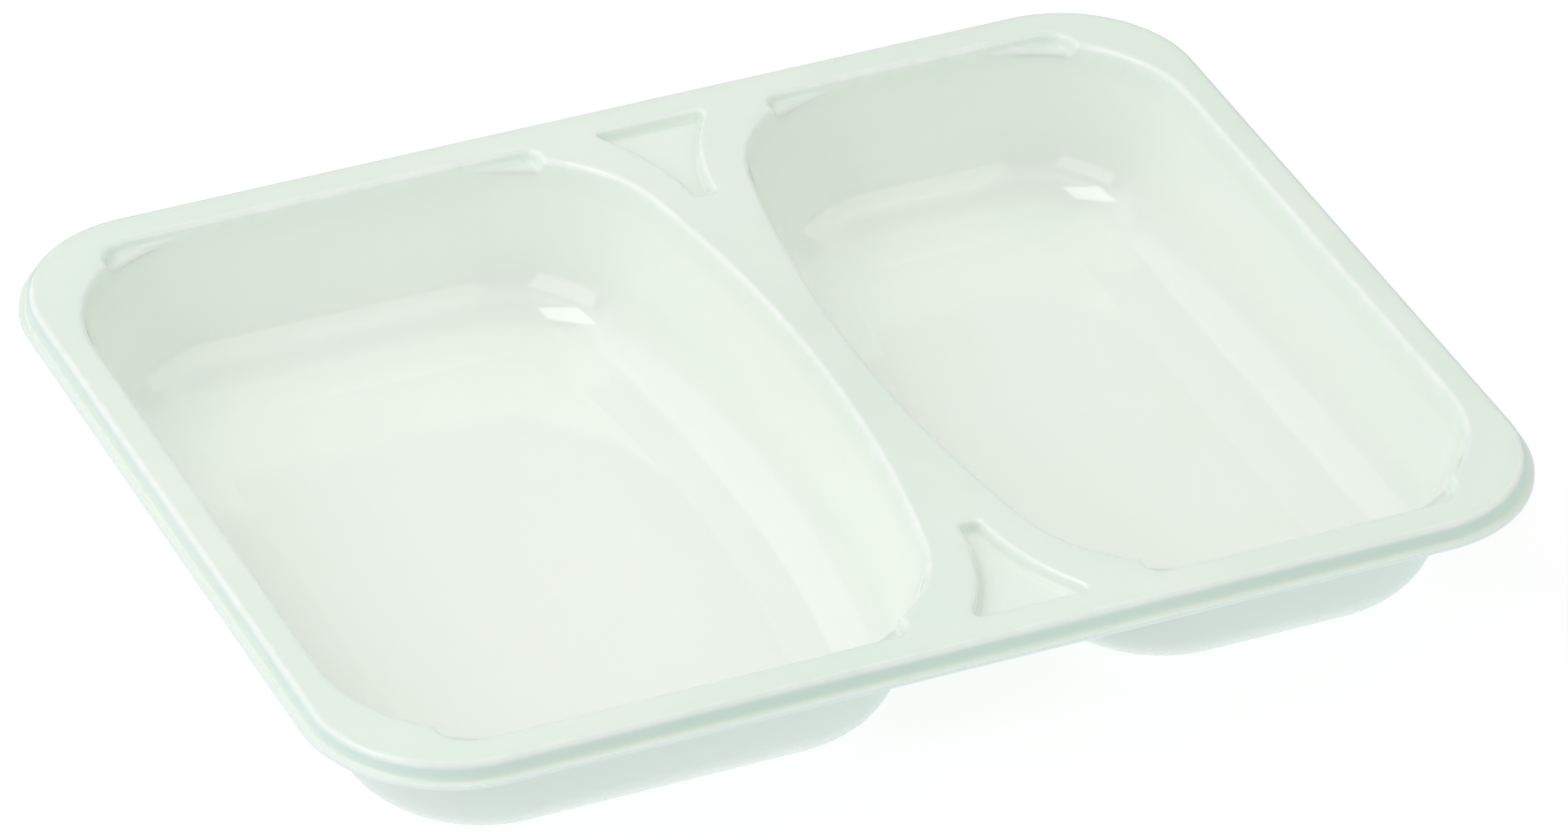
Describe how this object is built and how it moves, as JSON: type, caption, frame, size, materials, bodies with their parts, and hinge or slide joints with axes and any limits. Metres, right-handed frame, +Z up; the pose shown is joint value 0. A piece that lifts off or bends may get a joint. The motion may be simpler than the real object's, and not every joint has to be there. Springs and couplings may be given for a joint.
{
  "type": "two-compartment food tray",
  "caption": "Shallow one-piece tray with a large and a small round-cornered well, a waisted bridge between them, stacking ledges and a flanged rim.",
  "frame": {"origin": "centre of the outer lip in plan, at the underside of the well floors", "axes": "+X along the long side towards the small well, +Y along the short side, +Z up out of the open wells"},
  "size_m": [0.227, 0.178, 0.0295],
  "materials": {
    "tray_plastic": "smooth, glossy off-white formed sheet with a faint green cast"
  },
  "bodies": {
    "root": {"tray": "tray_plastic"}
  },
  "joints": []
}
